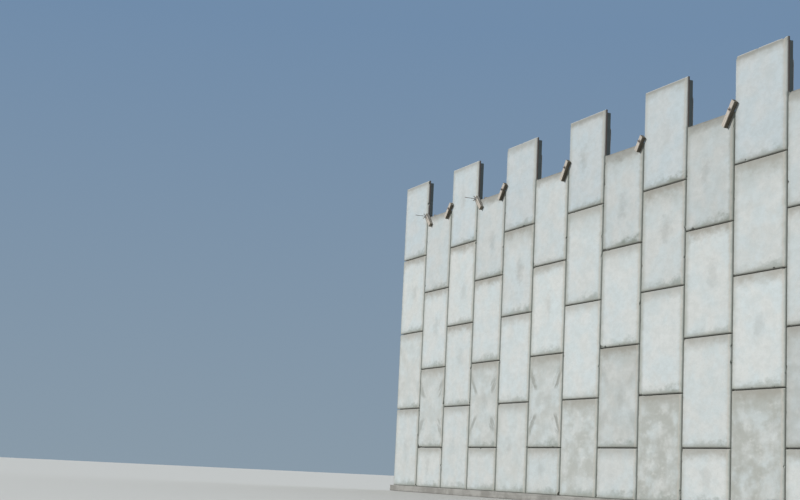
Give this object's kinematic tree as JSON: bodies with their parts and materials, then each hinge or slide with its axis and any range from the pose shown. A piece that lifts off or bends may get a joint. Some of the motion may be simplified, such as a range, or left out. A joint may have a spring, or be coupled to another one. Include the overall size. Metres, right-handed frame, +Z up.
{
  "type": "reinforced earth wall",
  "caption": "Reinforced earth wall facing of staggered precast concrete panels with a crenellated crest, tied back by rows of long steel strips, with timber clamps at the crest.",
  "frame": {"origin": "middle of the levelling pad's underside", "axes": "+X along the wall to the right seen from the front, +Y into the fill, +Z up"},
  "size_m": [18.12, 6.144, 8.13],
  "materials": {
    "facing_concrete": "matte cast",
    "pad_concrete": "rough cast",
    "bearing_rubber": "matte",
    "filter_fabric": "felt",
    "galvanised_steel": "galvanised",
    "clamp_timber": "rough sawn",
    "clamp_steel": "weathered"
  },
  "bodies": {
    "root": {"levelling_pad": "pad_concrete", "tall_column_1": "facing_concrete", "short_column_1": "facing_concrete", "tall_column_2": "facing_concrete", "short_column_2": "facing_concrete", "tall_column_3": "facing_concrete", "short_column_3": "facing_concrete", "tall_column_4": "facing_concrete", "short_column_4": "facing_concrete", "tall_column_5": "facing_concrete", "short_column_5": "facing_concrete", "tall_column_6": "facing_concrete", "short_column_6": "facing_concrete", "bearing_pads": "bearing_rubber", "vertical_joint_filters": "filter_fabric", "horizontal_joint_filters": "filter_fabric", "reinforcing_strips_layer_1": "galvanised_steel", "reinforcing_strips_layer_2": "galvanised_steel", "reinforcing_strips_layer_3": "galvanised_steel", "reinforcing_strips_layer_4": "galvanised_steel", "reinforcing_strips_layer_5": "galvanised_steel", "reinforcing_strips_layer_6": "galvanised_steel", "tie_strips_row_1": "galvanised_steel", "tie_strips_row_2": "galvanised_steel", "tie_strips_row_3": "galvanised_steel", "tie_strips_row_4": "galvanised_steel", "tie_strips_row_5": "galvanised_steel", "tie_strips_row_6": "galvanised_steel", "tie_strips_row_7": "galvanised_steel", "tie_strips_row_8": "galvanised_steel", "crest_clamp_1_timbers": "clamp_timber", "crest_clamp_1_bolt": "clamp_steel", "crest_clamp_2_timbers": "clamp_timber", "crest_clamp_2_bolt": "clamp_steel", "crest_clamp_3_timbers": "clamp_timber", "crest_clamp_3_bolt": "clamp_steel", "crest_clamp_4_timbers": "clamp_timber", "crest_clamp_4_bolt": "clamp_steel", "crest_clamp_5_timbers": "clamp_timber", "crest_clamp_5_bolt": "clamp_steel", "crest_clamp_6_timbers": "clamp_timber", "crest_clamp_6_bolt": "clamp_steel", "crest_clamp_7_timbers": "clamp_timber", "crest_clamp_7_bolt": "clamp_steel"}
  },
  "joints": []
}
